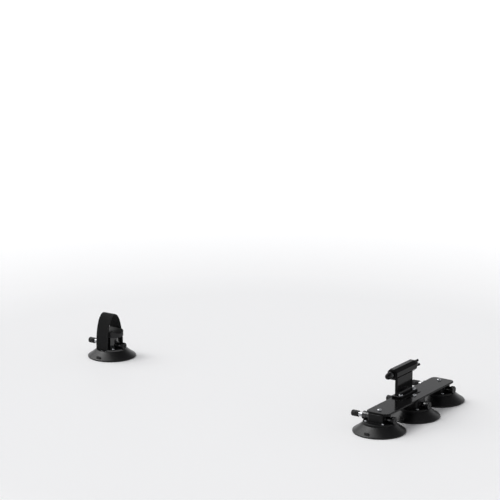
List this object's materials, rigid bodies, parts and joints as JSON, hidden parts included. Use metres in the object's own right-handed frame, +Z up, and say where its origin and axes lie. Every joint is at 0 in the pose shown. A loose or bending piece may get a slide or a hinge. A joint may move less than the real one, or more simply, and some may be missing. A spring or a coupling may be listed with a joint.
{
  "type": "roof bike carrier",
  "caption": "Vacuum-cup roof bike carrier: a cross plate with a quick-release fork upright, and a separate cup with a tyre cradle and wheel strap.",
  "frame": {"origin": "on the roof plane, under the middle of the whole set", "axes": "+X forward along the bicycle, +Y to the left side, +Z up"},
  "size_m": [1.0564, 0.415, 0.1239],
  "materials": {
    "rubber": "satin moulded black rubber",
    "zinc_steel": "bright plated steel",
    "body_plastic": "fine-grained black moulding",
    "gloss_black": "glossy black moulding",
    "matte_black": "matte black moulding",
    "polished_steel": "polished metal",
    "screw_steel": "bright plated fastener",
    "plate_black": "satin black anodised aluminium",
    "lever_black": "black anodised aluminium",
    "webbing": "woven black hook-and-loop webbing"
  },
  "bodies": {
    "carrier": {"suction_pad_right": "rubber", "suction_pad_middle": "rubber", "suction_pad_left": "rubber", "suction_pad_rear": "rubber", "backing_plate_right": "zinc_steel", "backing_plate_middle": "zinc_steel", "backing_plate_left": "zinc_steel", "backing_plate_rear": "zinc_steel", "pump_body_right": "body_plastic", "pump_body_middle": "body_plastic", "pump_body_left": "body_plastic", "pump_body_rear": "gloss_black", "pump_barrel_right": "gloss_black", "pump_barrel_middle": "gloss_black", "pump_barrel_left": "gloss_black", "pump_barrel_rear": "gloss_black", "gland_nut_right": "gloss_black", "gland_nut_middle": "gloss_black", "gland_nut_left": "gloss_black", "gland_nut_rear": "gloss_black", "end_cap_right": "matte_black", "end_cap_middle": "matte_black", "end_cap_left": "matte_black", "end_cap_rear": "matte_black", "return_spring_right": "zinc_steel", "return_spring_middle": "zinc_steel", "return_spring_left": "zinc_steel", "return_spring_rear": "zinc_steel", "check_valves": "rubber", "body_screws": "screw_steel", "base_plate": "plate_black", "plate_bolts": "screw_steel", "fork_upright": "plate_black", "upright_bolts": "screw_steel", "axle_end_right": "lever_black", "axle_end_left": "lever_black", "tyre_cradle": "rubber", "cradle_bolt": "screw_steel", "wheel_strap": "webbing"},
    "plunger_right": {"plunger_right": "polished_steel", "knob_right": "gloss_black", "piston_seal_right": "rubber"},
    "plunger_middle": {"plunger_middle": "polished_steel", "knob_middle": "gloss_black", "piston_seal_middle": "rubber"},
    "plunger_left": {"plunger_left": "polished_steel", "knob_left": "gloss_black", "piston_seal_left": "rubber"},
    "plunger_rear": {"plunger_rear": "polished_steel", "knob_rear": "gloss_black", "piston_seal_rear": "rubber"},
    "cam_seat": {"cam_seat": "gloss_black"},
    "skewer": {"skewer_rod": "zinc_steel", "cam_pin": "zinc_steel"},
    "lever": {"cam_lever": "lever_black"},
    "nut": {"skewer_nut": "polished_steel", "nut_cap": "gloss_black"}
  },
  "joints": [
    {"name": "plunger_slide_right", "type": "slide", "parent": "carrier", "child": "plunger_right", "axis": [1, 0, 0], "range_m": [0, 0.0115], "stiffness_N_per_m": 150, "springref_m": -0.01, "deforming": ["return_spring_right"]},
    {"name": "plunger_slide_middle", "type": "slide", "parent": "carrier", "child": "plunger_middle", "axis": [1, 0, 0], "range_m": [0, 0.0115], "stiffness_N_per_m": 150, "springref_m": -0.01, "deforming": ["return_spring_middle"]},
    {"name": "plunger_slide_left", "type": "slide", "parent": "carrier", "child": "plunger_left", "axis": [1, 0, 0], "range_m": [0, 0.0115], "stiffness_N_per_m": 150, "springref_m": -0.01, "deforming": ["return_spring_left"]},
    {"name": "plunger_slide_rear", "type": "slide", "parent": "carrier", "child": "plunger_rear", "axis": [1, 0, 0], "range_m": [0, 0.0115], "stiffness_N_per_m": 150, "springref_m": -0.01, "deforming": ["return_spring_rear"]},
    {"name": "skewer_turn", "type": "hinge", "parent": "carrier", "child": "cam_seat", "pos_m": [0.4313, 0.0565, 0.1104], "axis": [0, 1, 0], "continuous": true},
    {"name": "skewer_slide", "type": "slide", "parent": "cam_seat", "child": "skewer", "axis": [0, -1, 0], "range_m": [0, 0.0018]},
    {"name": "lever_hinge", "type": "hinge", "parent": "skewer", "child": "lever", "pos_m": [0.4313, 0.06955, 0.1104], "axis": [0.4226, 0, -0.9063], "range_deg": [0, 170]},
    {"name": "nut_turn", "type": "hinge", "parent": "skewer", "child": "nut", "pos_m": [0.4313, -0.0565, 0.1104], "axis": [0, 1, 0], "continuous": true}
  ],
  "couplings": [
    {"joint": "lever_hinge", "follows": "skewer_slide", "rad_per_m": 1648.3}
  ]
}
